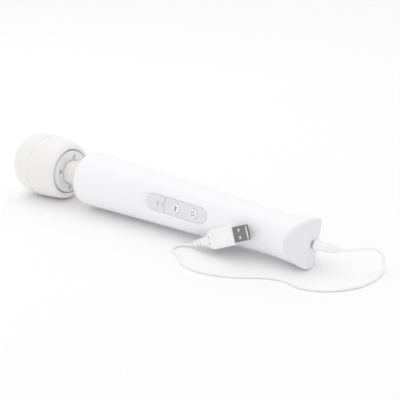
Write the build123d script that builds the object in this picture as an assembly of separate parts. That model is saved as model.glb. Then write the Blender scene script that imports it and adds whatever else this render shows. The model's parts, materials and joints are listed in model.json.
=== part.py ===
from build123d import *
import os
from math import cos, pi, radians, sin, tan

# Handheld wand massager with a charging lead plugged into its tail.
# Each piece is drawn in the wand's own frame: X is the wand's axis with the head at -X and the
# tail tips at x = 0, +Z is the way the control panel faces, and the tail tips point to +Y and -Y.
# rest() then lays the wand on the ground as it lies by itself: rolled so that the panel faces
# sideways, on its head and its tail. The row's frame has Z up and X along the wand.

# ---- driving dimensions, mm -------------------------------------------------------------------
HEAD_RADIUS = 28.4
HEAD_TIP_X = -319.5
HEAD_GROOVE_X = -289.9
HEAD_REAR_X = -262.6
NOSE_POWER = 3.15
NECK_RADIUS = 11.0
SHELL_FRONT_X = -231.0
WALL = 2.2
HANDLE_FRONT_RADIUS = 24.0
HANDLE_TAPER = 0.0325
REAR_TAPER = 0.005
REAR_TAPER_X = -100.0
FLARE_START_X = -48.0
FLARE_TIPS = 4.2
FLARE_NORMAL = 8.0
FLARE_POWER = 2.1
HANDLE_SECTIONS = 27
LOFT_END_X = 3.0
TAIL_APEX_X = -0.5
TAIL_RADIUS = 26.0
TAIL_WALL = 2.6
PANEL_FRONT_X = -153.6
PANEL_REAR_X = -90.1
PANEL_WIDTH = 13.8
PANEL_TOP = 18.9
PANEL_DROP = 0.4
PANEL_CROWN = 40.0
PANEL_FLOOR = 17.2
KEY_SPLIT_X = -134.0
MODE_X = -121.5
POWER_X = -103.8
SPEED_X = -142.5
BUTTON_RADIUS = 4.1
BUTTON_RISE = 1.0
BUTTON_TRAVEL = 0.6
ROLL = 76.2
PITCH = 1.6
COLLAR_SPLIT_ANGLE = 43.8
CELL_RADIUS = 9.2
CELL_LENGTH = 65.0
CELL_Y = -5.5
CELL_Z = -2.5
BOARD_TOP = 10.0
BOARD_THICKNESS = 1.6
PLUNGER_TOP = 14.3
BARREL_ROOT_X = 0.9
CORD_DIAMETER = 2.1

# The charging lead's route in the row's frame, from the barrel plug to the USB plug.
CORD_ROUTE = (
    (180.9, 4.3, 19.3), (187, 6, 19.5), (192.5, 15.5, 19.5), (198.5, 25, 18), (201, 31, 12),
    (203.5, 30.5, 6), (205, 26.5, 1.5), (208, 15.5, 1.1), (208, 2, 1.1), (203.5, -14, 1.1),
    (190.5, -29.5, 1.1), (172, -37.5, 1.1), (154, -31.5, 1.1), (137, -37.5, 1.1), (120, -50.5, 1.1),
    (98, -58, 1.1), (76.5, -56.5, 1.1), (61, -43.5, 1.1), (50, -38.5, 1.1), (46.5, -31.7, 1.1),
    (49.6, -25.2, 1.1), (56.4, -23.3, 2.1), (61.6, -23.3, 4.6),
)
USB_ROOT = Vector(103.2, -23.7, 22.5)
USB_DIRECTION = Vector(0.919, -0.009, 0.395).normalized()
USB_WIDTH_HINT = Vector(-0.373, 0.167, 0.913)
USB_SHELL = (12.3, 12.0, 4.5)
USB_LENGTH = 45.3

LONG = 400.0


# ---- helpers ----------------------------------------------------------------------------------
def section(x):
    """Plane across the wand at x: its local x is the wand's Z, its local y the wand's -Y."""
    return Plane(origin=(x, 0, 0), x_dir=(0, 0, 1), z_dir=(1, 0, 0))


def handle_half_heights(x):
    """The handle's half height along the tail tips and along the panel's normal."""
    taper = HANDLE_FRONT_RADIUS - HANDLE_TAPER * (x - SHELL_FRONT_X) - REAR_TAPER * max(0, x - REAR_TAPER_X)
    flare = max(0, 1 - x / FLARE_START_X) ** FLARE_POWER
    return taper + FLARE_TIPS * flare, taper + FLARE_NORMAL * flare


def rod(x0, x1, radius, y=0.0, z=0.0):
    """A solid cylinder along X from x0 to x1."""
    return Pos(x0, y, z) * (Plane.YZ * Cylinder(radius, x1 - x0, align=(Align.CENTER, Align.CENTER, Align.MIN)))


def ring(x0, x1, outer, inner, y=0.0, z=0.0):
    return rod(x0, x1, outer, y, z) - rod(x0 - 1, x1 + 1, inner, y, z)


def post(x, y, z0, z1, radius):
    """A solid cylinder along Z."""
    return Pos(x, y, z0) * Cylinder(radius, z1 - z0, align=(Align.CENTER, Align.CENTER, Align.MIN))


def block(x0, x1, y0, y1, z0, z1):
    return Pos((x0 + x1) / 2, (y0 + y1) / 2, (z0 + z1) / 2) * Box(x1 - x0, y1 - y0, z1 - z0)


def turned(profile):
    """A solid of revolution about X from a closed outline of (x, radius) edges."""
    return revolve(make_face(profile), Axis.X)


def polygon(*points):
    return Polyline(*points, close=True)


def handle_form(shrink=0.0):
    """The handle's outer form, or the same form moved in by shrink."""
    faces = []
    for i in range(HANDLE_SECTIONS):
        x = SHELL_FRONT_X + (LOFT_END_X - SHELL_FRONT_X) * i / (HANDLE_SECTIONS - 1)
        tips, normal = handle_half_heights(x)
        faces.append(section(x) * Ellipse(normal - shrink, tips - shrink))
    return loft(faces)


def stadium(grow=0.0):
    """The control panel's outline, seen from +Z."""
    length = PANEL_REAR_X - PANEL_FRONT_X + 2 * grow
    middle = (PANEL_REAR_X + PANEL_FRONT_X) / 2
    return Pos(middle, 0) * SlotOverall(length, PANEL_WIDTH + 2 * grow)


def group(pieces):
    """Several separate solids that share one node."""
    return Compound(children=[solid for piece in pieces for solid in piece.solids()])


def around(count, first_angle, radius):
    """Places spaced evenly round the wand's axis, as (y, z)."""
    angles = [radians(first_angle + 360 * i / count) for i in range(count)]
    return [(radius * cos(a), radius * sin(a)) for a in angles]


# ---- head -------------------------------------------------------------------------------------
def nose_x(radius):
    depth = HEAD_GROOVE_X - 1.0 - HEAD_TIP_X
    share = min(1.0, radius / HEAD_RADIUS)
    return HEAD_GROOVE_X - 1.0 - depth * (1 - share**NOSE_POWER) ** (1 / NOSE_POWER)


def head_cushion():
    """Silicone cushion: blunt nose, a parting groove, a barrel that narrows and a rolled rear lip."""
    nose = [(nose_x(r), r) for r in (0, 9, 16, 21, 24.5, 26.8, 28.0, HEAD_RADIUS)]
    groove_floor = (HEAD_GROOVE_X, HEAD_RADIUS - 1.0)
    groove_rear = (HEAD_GROOVE_X + 1.0, HEAD_RADIUS - 0.05)
    lip_start = (-266.0, 25.8)
    lip_end = (HEAD_REAR_X, 22.4)
    throat = (HEAD_REAR_X - 1.8, 20.2)
    outline = [
        Spline(*nose),
        Line(nose[-1], groove_floor),
        Line(groove_floor, groove_rear),
        Spline(groove_rear, (-282.0, 27.6), (-274.0, 26.9), lip_start),
        Spline(lip_start, (-263.4, 24.3), lip_end),
        Spline(lip_end, (-262.9, 20.9), throat),
        Line(throat, (-267.0, 20.2)),
        Line((-267.0, 20.2), (-267.0, 23.7)),
        Line((-267.0, 23.7), (-307.0, 23.7)),
        Line((-307.0, 23.7), (-314.3, 16.2)),
        Line((-314.3, 16.2), (-314.3, 0)),
        Line((-314.3, 0), nose[0]),
    ]
    return turned(outline)


def head_cup():
    """Rigid cup under the cushion, open to the rear."""
    outline = polygon(
        (-314.0, 0), (-314.0, 16.0), (-306.8, 23.4), (-267.4, 23.4), (-267.4, 21.4),
        (-306.0, 21.4), (-312.0, 15.2), (-312.0, 0),
    )
    return turned(outline)


def head_base():
    """Rear plate of the head: closes the cup, holds the motor and takes the collar's screws."""
    plate = ring(-272.0, -267.2, 21.2, 3.6)
    plate += ring(-276.0, -272.0, 14.4, 12.35)
    for y, z in collar_screw_places():
        plate -= rod(-271.0, -266.0, 1.0, y, z)
    return plate


def collar_screw_places():
    return around(4, COLLAR_SPLIT_ANGLE + 45, 14.2)


def collar_half(side):
    """Half of the two-part clamp ring round the neck, bevelled at its outer rear edge."""
    outline = polygon((-267.0, 11.3), (-267.0, 19.6), (-263.2, 19.6), (-261.2, 16.7), (-261.2, 11.3))
    whole = turned(outline)
    low, high = (0.1, LONG) if side > 0 else (-LONG, -0.1)
    half = whole & block(-270, -255, -LONG, LONG, low, high)
    half = Rot(COLLAR_SPLIT_ANGLE, 0, 0) * half
    for y, z in collar_screw_places():
        half -= rod(-270.0, -255.0, 1.15, y, z)
        half -= rod(-262.9, -255.0, 1.75, y, z)
    return half


def collar_screws():
    screws = []
    for y, z in collar_screw_places():
        screw = rod(-270.8, -262.5, 0.97, y, z) + rod(-262.8, -261.5, 1.6, y, z)
        screw -= block(-261.9, -261.0, y - 1.2, y + 1.2, z - 0.25, z + 0.25)
        screws.append(screw)
    return group(screws)


def motor_can():
    """Motor case with a boss at its front and the bearing bore that the shaft runs in."""
    can = rod(-302.0, -272.4, 12.2)
    can = fillet(can.edges().filter_by(GeomType.CIRCLE), 0.8)
    return can + rod(-303.4, -301.0, 3.2) - rod(-304.0, -290.0, 1.05)


def motor_bracket():
    """Ring with three arms that centres the motor's front end in the cup."""
    bracket = ring(-300.0, -296.0, 14.3, 12.3)
    for angle in (90, 210, 330):
        arm = block(-300.0, -296.0, -2.5, 2.5, 13.8, 21.3)
        bracket += Rot(angle, 0, 0) * arm
    return bracket & rod(-301.0, -295.0, 21.3)


def motor_shaft():
    return rod(-311.2, -290.4, 1.0)


def eccentric_weight():
    """Steel sector on a hub. At rest its heavy side hangs straight down."""
    sector = rod(-310.6, -304.4, 9.0) & block(-311, -304, -LONG, LONG, -LONG, 0)
    weight = sector + rod(-310.6, -304.4, 3.2)
    weight -= rod(-312.0, -303.0, 1.0)
    return Rot(-ROLL, 0, 0) * weight


# ---- neck -------------------------------------------------------------------------------------
def neck_sleeve():
    """Silicone sleeve with a flange at the handle's end."""
    outline = polygon(
        (-267.0, 8.1), (-267.0, NECK_RADIUS), (-234.8, NECK_RADIUS), (-234.8, 14.0), (-232.2, 14.0), (-232.2, 8.1)
    )
    return turned(outline)


def neck_core():
    """Rubber core that carries the head and brings it back to straight."""
    return ring(-267.0, -232.2, 7.9, 3.5)


def motor_leads():
    return group([rod(-271.0, -232.2, 0.55, y) for y in (-1.3, 1.3)])


# ---- handle -----------------------------------------------------------------------------------
def front_cap():
    """Rounded front end of the handle. Its bore lets the neck through and holds its flange."""
    r = HANDLE_FRONT_RADIUS
    outline = [
        Line((-238.0, 11.5), (-238.0, 19.8)),
        Spline((-238.0, 19.8), (-237.3, 21.8), (-235.4, 23.3), (SHELL_FRONT_X, r), tangents=[(0, 1), (1, -0.03)]),
        Line((SHELL_FRONT_X, r), (SHELL_FRONT_X, r - WALL - 0.1)),
        Line((SHELL_FRONT_X, r - WALL - 0.1), (-228.0, r - WALL - 0.25)),
        Line((-228.0, r - WALL - 0.25), (-228.0, 19.9)),
        Line((-228.0, 19.9), (-232.0, 19.9)),
        Line((-232.0, 19.9), (-232.0, 14.3)),
        Line((-232.0, 14.3), (-235.0, 14.3)),
        Line((-235.0, 14.3), (-235.0, 11.5)),
        Line((-235.0, 11.5), (-238.0, 11.5)),
    ]
    cap = turned(outline)
    for y, z in around(3, 30, 17.0):
        cap -= rod(-235.5, -230.0, 0.9, y, z)
    return cap


def neck_retainer():
    """Plate behind the neck's flange."""
    plate = ring(-232.0, -229.6, 19.7, 4.0)
    for y, z in around(3, 30, 17.0):
        plate -= rod(-233.0, -228.0, 1.1, y, z)
    return plate


def retainer_screws():
    screws = []
    for y, z in around(3, 30, 17.0):
        screws.append(rod(-235.3, -229.6, 0.88, y, z) + rod(-229.6, -228.2, 1.9, y, z))
    return group(screws)


def tail_form(shrink=0.0):
    """Everything inside the tail's convex face, a cylinder along the line of the tips, less shrink."""
    centre = TAIL_APEX_X - TAIL_RADIUS
    dome = Pos(centre, 0, 0) * Rot(90, 0, 0) * Cylinder(TAIL_RADIUS - shrink, LONG)
    return dome + block(-LONG, centre, -LONG / 2, LONG / 2, -LONG / 2, LONG / 2)


OUTER_FORM = handle_form()
INNER_FORM = handle_form(WALL)


def tail_cap():
    """Convex end of the handle with the charging socket's hole in the middle."""
    cap = (OUTER_FORM & tail_form()) - tail_form(TAIL_WALL)
    cap += ring(-7.6, TAIL_APEX_X - 1.0, 5.2, 3.4)
    return cap - rod(-10.0, 2.0, 1.95)


def case_screw_places():
    return ((-205.0, 13.0), (-168.0, 13.0), (-56.0, 0.0))


def handle_shell(side, supports):
    """Half of the handle's case, split on the plane through the tail tips. The supports are left
    standing in its cavity."""
    low, high = (0, 60) if side > 0 else (-60, 0)
    cavity = INNER_FORM
    for support in supports:
        cavity -= support
    shell = (OUTER_FORM & block(-250, 20, -60, 60, low, high)) - cavity
    return shell & tail_form(TAIL_WALL)


def panel_pocket():
    """Recess that the control panel sits in: straight sides below, soft sloping sides above."""
    sunk = Pos(0, 0, PANEL_FLOOR) * extrude(stadium(0.12), 12)
    soft = extrude(Pos(0, 0, PANEL_TOP - 0.6) * stadium(0.12), 4.5, taper=-58)
    return sunk + soft


def handle_front_shell():
    """The case half that faces the user, with the control panel's seat and recess."""
    seat = Pos(0, 0, 15.2) * extrude(stadium(2.4), 20)
    board_posts = [post(x, y, BOARD_TOP, 30, 2.4) for x, y in board_screw_places()]
    bosses = [post(x, y, 0, 30, 2.9) for x, y in case_screw_places()]
    shell = handle_shell(1, [seat] + board_posts + bosses)
    shell -= panel_pocket()
    for x in (SPEED_X, MODE_X, POWER_X):
        shell -= post(x, 0, 10, 20, 2.3)
    for x, y in board_screw_places():
        shell -= post(x, y, BOARD_TOP - 1, 15.8, 0.9)
    for x, y in case_screw_places():
        shell -= post(x, y, -1, 12, 1.15)
    return shell


def handle_back_shell():
    """The other case half, with the screws' sunk holes."""
    shell = handle_shell(-1, [post(x, y, -30, 0, 4.0) for x, y in case_screw_places()])
    for x, y in case_screw_places():
        shell -= post(x, y, -30, 1, 1.5)
        shell -= post(x, y, -30, -4.0, 2.7)
    return shell


def case_screws():
    screws = []
    for x, y in case_screw_places():
        screw = post(x, y, -4.0, 11.0, 1.13) + post(x, y, -6.0, -4.0, 2.5)
        screw -= block(x - 1.8, x + 1.8, y - 0.3, y + 0.3, -6.5, -5.3)
        screw -= block(x - 0.3, x + 0.3, y - 1.8, y + 1.8, -6.5, -5.3)
        screws.append(screw)
    return group(screws)


# ---- controls ---------------------------------------------------------------------------------
def crown():
    """The shallow arch that the panel's top follows, dropping a little towards the tail."""
    middle = (PANEL_FRONT_X + PANEL_REAR_X) / 2
    slope = PANEL_DROP / (PANEL_REAR_X - PANEL_FRONT_X) * 180 / pi
    arch = Rot(0, 90, 0) * Cylinder(PANEL_CROWN, 120)
    return Pos(middle, 0, PANEL_TOP - PANEL_CROWN) * Rot(0, slope, 0) * arch


def panel_slab():
    return (Pos(0, 0, PANEL_FLOOR) * extrude(stadium(), 4)) & crown()


def control_panel():
    panel = panel_slab() & block(KEY_SPLIT_X + 0.2, 0, -20, 20, 0, 40)
    for x in (MODE_X, POWER_X):
        panel -= post(x, 0, 10, 30, BUTTON_RADIUS + 0.15)
    return panel


def speed_key():
    """D-shaped push key at the panel's head end, on a stem that reaches its switch."""
    base = PANEL_FLOOR + BUTTON_TRAVEL + 0.1
    slab = panel_slab() & block(-200, KEY_SPLIT_X - 0.2, -20, 20, base, 40)
    return slab + stem(SPEED_X, base + 0.2)


def stem(x, top):
    """Shank that goes through the case to the switch's plunger."""
    return post(x, 0, PLUNGER_TOP, top, 2.0)


def round_button(x):
    """Domed push button."""
    base = PANEL_FLOOR + BUTTON_TRAVEL + 0.1
    top = PANEL_TOP + BUTTON_RISE
    dome = 14.0
    cap = post(x, 0, base, top, BUTTON_RADIUS) & (Pos(x, 0, top - dome) * Sphere(dome))
    return cap + stem(x, base + 0.2)


def plunger(x):
    return post(x, 0, 13.2, PLUNGER_TOP, 1.5)


def tact_switches():
    switches = []
    for x in (SPEED_X, MODE_X, POWER_X):
        switches.append(block(x - 3, x + 3, -3, 3, BOARD_TOP, 13.5) - post(x, 0, 12.4, 14, 1.6))
    return group(switches)


def board_screw_places():
    return ((-157.0, 6.5), (-87.0, -6.5))


def circuit_board():
    board = block(-160.5, -83.5, -10, 10, BOARD_TOP - BOARD_THICKNESS, BOARD_TOP)
    board = fillet(board.edges().filter_by(Axis.Z), 2)
    for x, y in board_screw_places():
        board -= post(x, y, 0, 20, 1.1)
    return board


def board_screws():
    under = BOARD_TOP - BOARD_THICKNESS
    screws = []
    for x, y in board_screw_places():
        screws.append(post(x, y, under, 15.2, 0.88) + post(x, y, under - 1.4, under, 1.9))
    return group(screws)


def controller_chip():
    return block(-131.5, -126.5, 3.6, 8.6, BOARD_TOP, BOARD_TOP + 1.0)


def charger_chip():
    return block(-95.5, -91.5, 3.0, 7.0, BOARD_TOP, BOARD_TOP + 1.1)


# ---- power ------------------------------------------------------------------------------------
def battery_cell(x0):
    cell = rod(x0, x0 + CELL_LENGTH - 1.0, CELL_RADIUS, CELL_Y, CELL_Z)
    cell = fillet(cell.edges().filter_by(GeomType.CIRCLE), 0.7)
    return cell + rod(x0 + CELL_LENGTH - 1.0, x0 + CELL_LENGTH, 3.0, CELL_Y, CELL_Z)


def battery_holder():
    """Trough for the two cells, open towards the circuit board, with a wall at each end."""
    x0, x1 = -227.0, -92.6
    trough = ring(x0, x1, 10.5, CELL_RADIUS + 0.15, CELL_Y, CELL_Z)
    trough += rod(x0, x0 + 1.2, 10.5, CELL_Y, CELL_Z) + rod(x1 - 1.2, x1, 10.5, CELL_Y, CELL_Z)
    return trough & block(x0, x1, -40, 40, -40, CELL_Z + 3.0)


def battery_contacts():
    return group([rod(x, x + 0.3, 5.0, CELL_Y, CELL_Z) for x in (-225.7, -159.6, -94.1)])


def wire(points, radius=0.55):
    """A fixed wire inside the case: straight runs with rounded corners."""
    path = FilletPolyline(*points, radius=2.0)
    return sweep(Plane(origin=path @ 0, z_dir=path % 0) * Circle(radius), path=path)


def handle_leads():
    leads = []
    for y in (-1.3, 1.3):
        leads.append(wire([(-229.4, y, 0.6), (-228.0, y, 5.5), (-224.5, y, 8.6), (-166.0, y, 10.7), (-158.0, y, 10.6)]))
    return group(leads)


def battery_leads():
    y = CELL_Y - 1
    front = wire([(-226.2, y, 1.0), (-226.2, y, 8.6), (-205.0, y, 8.6), (-161.2, y, 9.3)], 0.5)
    rear = post(-92.0, CELL_Y, CELL_Z - 1.0, BOARD_TOP - BOARD_THICKNESS, 0.5)
    return group([front, rear])


def charging_socket():
    """Barrel socket behind the tail face."""
    return rod(-15.6, -3.8, 3.3) - rod(-14.6, -3.6, 1.82)


def socket_pin():
    return rod(-14.6, -4.6, 0.55)


def socket_leads():
    leads = []
    for y in (-1.4, 1.4):
        leads.append(wire([(-15.8, y, 0.0), (-32.0, y + 6.0, 0.0), (-70.0, y + 6.0, 5.5), (-82.9, y + 6.0, 9.2)]))
    return group(leads)


def barrel_sleeve():
    """Metal barrel of the plug, hollow for the socket's pin."""
    return rod(-9.8, BARREL_ROOT_X - 0.1, 1.75) - rod(-10.6, BARREL_ROOT_X - 0.5, 0.65)


# ---- charging lead (row frame) ----------------------------------------------------------------
def bend_frame(start, end, share):
    """Where the barrel plug's grip is, from its root on the wand's axis to the cord's start."""
    control = start + (end - start) * 0.5
    control = Vector(control.X, start.Y, control.Z)
    point = start * (1 - share) ** 2 + control * (2 * share * (1 - share)) + end * share**2
    tangent = (control - start) * (2 * (1 - share)) + (end - control) * (2 * share)
    return Plane(origin=point, x_dir=(0, 0, 1), z_dir=tangent.normalized())


def barrel_grip(root, end, stations):
    return loft([bend_frame(root, end, share) * Circle(radius) for share, radius in stations])


def usb_frame():
    normal = USB_DIRECTION.cross(USB_WIDTH_HINT).normalized()
    return Plane(origin=USB_ROOT, x_dir=USB_DIRECTION, z_dir=normal).location


def rounded_slab(x0, x1, width, height, radius):
    slab = Pos((x0 + x1) / 2, 0, 0) * Box(x1 - x0, width, height)
    return fillet(slab.edges().filter_by(Axis.X), radius)


def usb_overmould():
    """Grip of the USB plug: flat body, then shoulders that narrow towards the cord."""
    body = rounded_slab(-22.0, 0.0, 15.8, 7.4, 1.8)
    across = Plane(origin=(-22.0, 0, 0), x_dir=(0, 1, 0), z_dir=(-1, 0, 0))
    shoulders = loft(
        [across * RectangleRounded(15.8, 7.4, 1.8), across.offset(7.0) * RectangleRounded(12.6, 7.0, 1.8),
         across.offset(12.0) * RectangleRounded(9.0, 6.0, 1.8)]
    )
    mould = body + shoulders
    return mould - block(-20.5, -2.5, -5.4, 5.4, 3.4, 5)


def usb_relief():
    """Slotted strain relief."""
    across = Plane(origin=(-34.0, 0, 0), x_dir=(0, 1, 0), z_dir=(-1, 0, 0))
    relief = loft([across * RectangleRounded(7.6, 5.4, 1.6), across.offset(USB_LENGTH - 34.0) * RectangleRounded(4.6, 4.2, 1.6)])
    for x in (-37.0, -40.5):
        for side in (-1, 1):
            low, high = sorted((side * 0.9, side * 5.0))
            relief -= block(x - 0.7, x + 0.7, low, high, -4, 4)
    return relief


def usb_shell():
    length, width, height = USB_SHELL
    shell = block(0.0, length, -width / 2, width / 2, -height / 2, height / 2)
    shell -= block(0.3, length + 1, -width / 2 + 0.3, width / 2 - 0.3, -height / 2 + 0.3, height / 2 - 0.3)
    for y in (-2.9, 2.9):
        shell -= block(4.6, 7.0, y - 1.15, y + 1.15, -4, 4)
    return shell


def usb_tongue():
    return block(0.3, 11.3, -5.6, 5.6, -1.9, -0.1)


def usb_contacts():
    return group([block(1.5 if abs(y) > 2 else 2.5, 10.6, y - 0.5, y + 0.5, -0.1, 0.05) for y in (-3.5, -1.0, 1.0, 3.5)])


def cord():
    """The free cord: straight runs joined by arcs as large as their two runs allow."""
    points = [Vector(p) for p in CORD_ROUTE]
    radii = []
    for before, here, after in zip(points, points[1:], points[2:]):
        turn = radians((here - before).get_angle(after - here))
        radii.append(0.45 * min((here - before).length, (after - here).length) / tan(turn / 2))
    path = FilletPolyline(*points, radius=radii)
    tube = sweep(Plane(origin=path @ 0, z_dir=path % 0) * Circle(CORD_DIAMETER / 2), path=path)
    print("cord radii", [round(r, 1) for r in radii], "tightest", round(min(radii), 2))
    print("cord length", round(path.length, 1), "volume", round(tube.volume, 1))
    print("section times length", round(pi * CORD_DIAMETER**2 / 4 * path.length, 1))
    return tube


# ---- assembly ---------------------------------------------------------------------------------
WAND = {
    "head_cushion": head_cushion(),
    "head_cup": head_cup(),
    "head_base": head_base(),
    "collar_half_upper": collar_half(1),
    "collar_half_lower": collar_half(-1),
    "collar_screws": collar_screws(),
    "motor_can": motor_can(),
    "motor_bracket": motor_bracket(),
    "motor_shaft": motor_shaft(),
    "eccentric_weight": eccentric_weight(),
    "neck_sleeve": neck_sleeve(),
    "neck_core": neck_core(),
    "motor_leads": motor_leads(),
    "front_cap": front_cap(),
    "neck_retainer": neck_retainer(),
    "retainer_screws": retainer_screws(),
    "handle_front_shell": handle_front_shell(),
    "handle_back_shell": handle_back_shell(),
    "case_screws": case_screws(),
    "tail_cap": tail_cap(),
    "control_panel": control_panel(),
    "speed_key": speed_key(),
    "mode_button": round_button(MODE_X),
    "power_button": round_button(POWER_X),
    "speed_plunger": plunger(SPEED_X),
    "mode_plunger": plunger(MODE_X),
    "power_plunger": plunger(POWER_X),
    "tact_switches": tact_switches(),
    "circuit_board": circuit_board(),
    "board_screws": board_screws(),
    "controller_chip": controller_chip(),
    "charger_chip": charger_chip(),
    "battery_cell_front": battery_cell(-225.2),
    "battery_cell_rear": battery_cell(-159.1),
    "battery_holder": battery_holder(),
    "battery_contacts": battery_contacts(),
    "battery_leads": battery_leads(),
    "handle_leads": handle_leads(),
    "charging_socket": charging_socket(),
    "socket_pin": socket_pin(),
    "socket_leads": socket_leads(),
    "barrel_sleeve": barrel_sleeve(),
}


def rest_location():
    """Lays the wand down so that its lowest points touch the ground and the box is centred."""
    lean = Rot(0, PITCH, 0) * Rot(ROLL, 0, 0)
    boxes = [(lean * WAND[name]).bounding_box() for name in ("head_cushion", "tail_cap")]
    middle = (min(box.min.X for box in boxes) + max(box.max.X for box in boxes)) / 2
    print("resting heights", [round(box.min.Z, 3) for box in boxes])
    return Pos(-middle, 0, -min(box.min.Z for box in boxes)) * lean


rest = rest_location()
pieces = {name: rest * shape for name, shape in WAND.items()}
grip_root = (rest * Pos(BARREL_ROOT_X, 0, 0)).position
cord_start = Vector(CORD_ROUTE[0])
pieces["barrel_grip"] = barrel_grip(grip_root, cord_start, ((0.0, 4.0), (0.27, 3.95), (0.53, 3.7)))
pieces["barrel_relief"] = barrel_grip(grip_root, cord_start, ((0.53, 3.5), (0.77, 3.1), (1.0, 2.0)))
pieces["charging_cord"] = cord()
usb = usb_frame()
pieces["usb_overmould"] = usb * usb_overmould()
pieces["usb_relief"] = usb * usb_relief()
pieces["usb_shell"] = usb * usb_shell()
pieces["usb_tongue"] = usb * usb_tongue()
pieces["usb_contacts"] = usb * usb_contacts()

os.makedirs("parts", exist_ok=True)
for name, shape in pieces.items():
    shape.label = name
    export_step(shape, f"parts/{name}.step")
print("wand axis point at x = 0:", rest.position, "orientation:", rest.orientation)
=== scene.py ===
import json
from math import asin, ceil, cos, pi, radians, sin, sqrt

import bmesh
import bpy
from mathutils import Matrix, Vector
from mathutils.geometry import delaunay_2d_cdt


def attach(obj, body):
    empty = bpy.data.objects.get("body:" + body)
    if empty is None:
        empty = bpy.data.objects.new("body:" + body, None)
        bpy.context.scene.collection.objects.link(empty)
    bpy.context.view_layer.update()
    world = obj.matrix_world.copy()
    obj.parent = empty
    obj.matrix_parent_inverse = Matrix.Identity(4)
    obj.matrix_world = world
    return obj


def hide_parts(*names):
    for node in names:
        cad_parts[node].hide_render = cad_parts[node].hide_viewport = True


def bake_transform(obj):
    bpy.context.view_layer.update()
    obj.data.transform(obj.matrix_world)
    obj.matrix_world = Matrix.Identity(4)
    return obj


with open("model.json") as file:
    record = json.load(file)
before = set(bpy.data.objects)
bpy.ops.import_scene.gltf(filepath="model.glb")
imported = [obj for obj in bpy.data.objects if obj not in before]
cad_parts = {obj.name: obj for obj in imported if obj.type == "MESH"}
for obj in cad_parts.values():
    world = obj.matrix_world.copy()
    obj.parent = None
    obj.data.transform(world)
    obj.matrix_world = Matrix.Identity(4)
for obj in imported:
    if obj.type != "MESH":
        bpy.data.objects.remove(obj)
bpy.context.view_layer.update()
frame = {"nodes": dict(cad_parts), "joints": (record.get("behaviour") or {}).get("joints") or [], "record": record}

# Handheld wand massager with its charging lead. Pieces are drawn in millimetres in the wand's own
# frame, as in the CAD source: X is the wand's axis with the head at -X and the tail tips at x = 0,
# +Z is the way the control panel faces. WAND takes them to the row's frame, in metres.

# ---- dimensions, mm ---------------------------------------------------------------------------
MM = 0.001
USB_LENGTH = 12.3
USB_SHELL_WIDTH = 12.0
USB_SHELL_HEIGHT = 4.5
USB_SHELL_WALL = 0.3
TAIL_APEX_X = -0.5
TAIL_RADIUS = 26.0
BARREL_ROOT_X = 0.9
TAIL_WALL = 2.6
TAIL_EDGE = 0.9
SOCKET_HOLE = 1.95
SHELL_FRONT_X = -231.0
HANDLE_FRONT_RADIUS = 24.0
HANDLE_TAPER = 0.0325
REAR_TAPER = 0.005
REAR_TAPER_X = -100.0
FLARE_START_X = -48.0
FLARE_TIPS = 4.2
FLARE_NORMAL = 8.0
FLARE_POWER = 2.1
WALL = 2.2
PART_LINE = 0.08
CASE_SCREWS = ((-205.0, 13.0), (-168.0, 13.0), (-56.0, 0.0))
SCREW_WELL = 2.7
SCREW_SEAT_Z = 4.0
PANEL_FRONT_X = -153.6
PANEL_REAR_X = -90.1
PANEL_HALF = 6.9
PANEL_TOP = 18.9
PANEL_DROP = 0.4
PANEL_CROWN = 40.0
PANEL_FLOOR = 17.2
PANEL_GAP = 0.12
KEY_SPLIT_X = -134.0
KEY_BASE = 17.9
RECESS_START = 18.3
RECESS_SLOPE = 58.0
BUTTON_DOME = 14.0
STEM_RADIUS = 2.0
STEM_END = 14.3
SPEED_STEM_X = -142.5
NOSE_POWER = 3.15
COLLAR_SPLIT = 43.8
COLLAR_GAP = 0.1
COLLAR_SCREW_CIRCLE = 14.2
CORD_DIAMETER = 2.1
USB_WIDTH_HINT = Vector((-0.373, 0.167, 0.913))

# The charging lead's route in the row's frame, from the barrel plug to the USB plug.
CORD_ROUTE = (
    (180.9, 4.3, 19.3), (187, 6, 19.5), (192.5, 15.5, 19.5), (198.5, 25, 18), (201, 31, 12),
    (203.5, 30.5, 6), (205, 26.5, 1.5), (208, 15.5, 1.1), (208, 2, 1.1), (203.5, -14, 1.1),
    (190.5, -29.5, 1.1), (172, -37.5, 1.1), (154, -31.5, 1.1), (137, -37.5, 1.1), (120, -50.5, 1.1),
    (98, -58, 1.1), (76.5, -56.5, 1.1), (61, -43.5, 1.1), (50, -38.5, 1.1), (46.5, -31.7, 1.1),
    (49.6, -25.2, 1.1), (56.4, -23.3, 2.1), (61.6, -23.3, 4.6),
)

record = frame["record"]
mounts = {m["name"]: m for m in record["mounts"]}
joints = {j["name"]: j for j in frame["joints"]}


def basis(origin, x_axis, z_hint):
    """A matrix in metres whose inputs are millimetres, with its X along x_axis and its Z near z_hint."""
    x = Vector(x_axis).normalized()
    y = Vector(z_hint).cross(x).normalized()
    z = x.cross(y)
    turn = Matrix((x, y, z)).transposed().to_4x4()
    return Matrix.Translation(origin) @ turn @ Matrix.Scale(MM, 4)


def wand_basis():
    socket = mounts["charging_socket"]
    along = Vector(socket["axis"]).normalized()
    face = -Vector(joints["mode_push"]["axis"])
    return basis(Vector(socket["pos_m"]) + along * -TAIL_APEX_X * MM, along, face)


def usb_basis():
    plug = mounts["charging_plug"]
    along = Vector(plug["axis"]).normalized()
    return basis(Vector(plug["pos_m"]) - along * USB_LENGTH * MM, along, along.cross(USB_WIDTH_HINT))


WAND = wand_basis()
USB = usb_basis()


def wand_box(node):
    """Lowest and highest corner of a CAD node in the wand's frame, in millimetres."""
    back = WAND.inverted()
    points = [back @ v.co for v in frame["nodes"][node].data.vertices]
    return [Vector([pick(p[i] for p in points) for i in range(3)]) for pick in (min, max)]


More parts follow.
